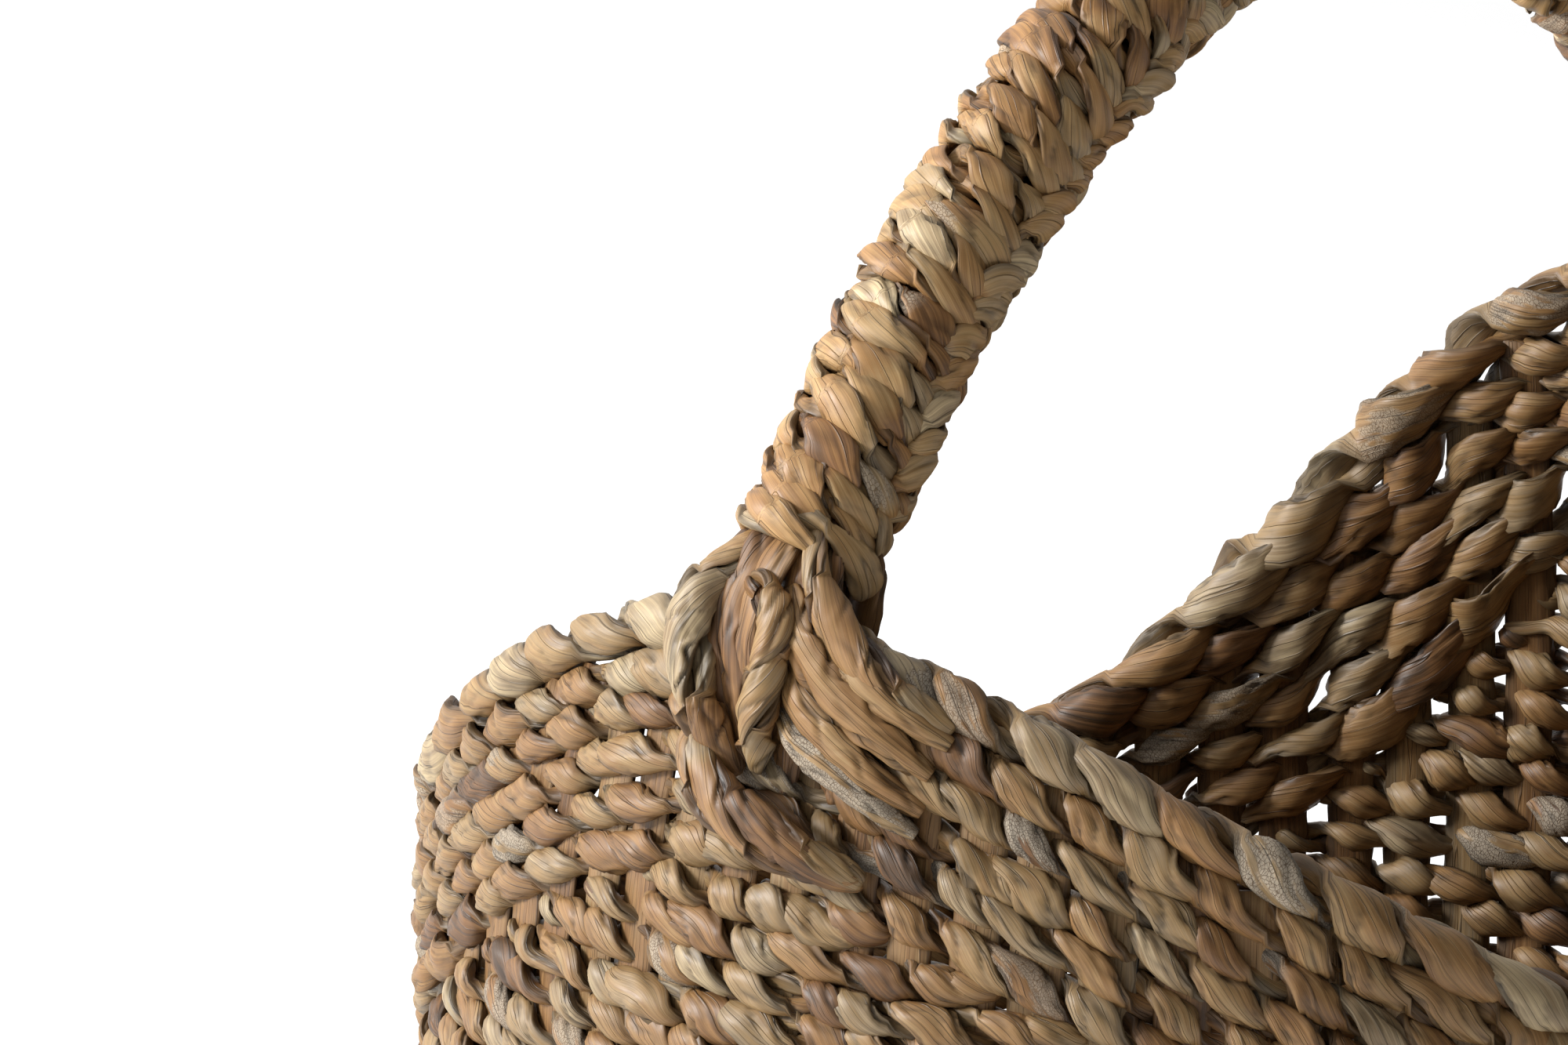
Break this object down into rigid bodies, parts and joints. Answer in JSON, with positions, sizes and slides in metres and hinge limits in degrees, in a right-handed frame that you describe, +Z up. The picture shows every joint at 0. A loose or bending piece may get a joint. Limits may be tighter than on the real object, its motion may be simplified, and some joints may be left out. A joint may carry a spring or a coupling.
{
  "type": "seagrass storage basket",
  "caption": "Round twined seagrass storage basket with a dipping saddle rim and a wrapped arch handle lashed to its two high points.",
  "frame": {"origin": "centre of the base on the floor it stands on", "axes": "+Z up; the arched handle spans along X with its near root at -X; -Y is the front, whose rim dips less than the back"},
  "size_m": [0.4732, 0.4739, 0.4621],
  "materials": {
    "weft_seagrass": "twisted dry seagrass weft, brown to tan, satin",
    "short_row_seagrass": "twisted dry seagrass weft, brown to tan, satin",
    "stake_seagrass": "pale twisted seagrass stake, matt",
    "rim_seagrass": "thicker twisted seagrass rope, satin",
    "handle_seagrass": "wide flat seagrass leaves wound round the handle, satin",
    "lashing_seagrass": "dark twisted seagrass lashing, satin",
    "cane": "bare bent cane"
  },
  "bodies": {
    "root": {"row_01": "weft_seagrass", "row_02": "weft_seagrass", "row_03": "weft_seagrass", "row_04": "weft_seagrass", "row_05": "weft_seagrass", "rim_row_1": "weft_seagrass", "rim_row_2": "weft_seagrass", "rim_row_3": "weft_seagrass", "rim_row_4": "weft_seagrass", "rim_row_5": "weft_seagrass", "long_rows": "short_row_seagrass", "short_rows_near": "short_row_seagrass", "short_rows_far": "short_row_seagrass", "stakes": "stake_seagrass", "base_spokes": "stake_seagrass", "rim_border_outer": "rim_seagrass", "rim_border_inner": "rim_seagrass", "base_button": "weft_seagrass", "base_rounds_lower": "weft_seagrass", "base_rounds_upper": "weft_seagrass", "base_edge": "weft_seagrass", "handle_core": "cane", "handle_bundle": "handle_seagrass", "handle_wrap": "handle_seagrass", "handle_ridge": "lashing_seagrass", "root_bundle_near": "handle_seagrass", "root_loop_near": "lashing_seagrass", "root_braid_near": "lashing_seagrass", "root_tie_near": "lashing_seagrass", "foot_ring_near": "lashing_seagrass", "root_bundle_far": "handle_seagrass", "root_loop_far": "lashing_seagrass", "root_braid_far": "lashing_seagrass", "root_tie_far": "lashing_seagrass", "foot_ring_far": "lashing_seagrass"}
  },
  "joints": []
}
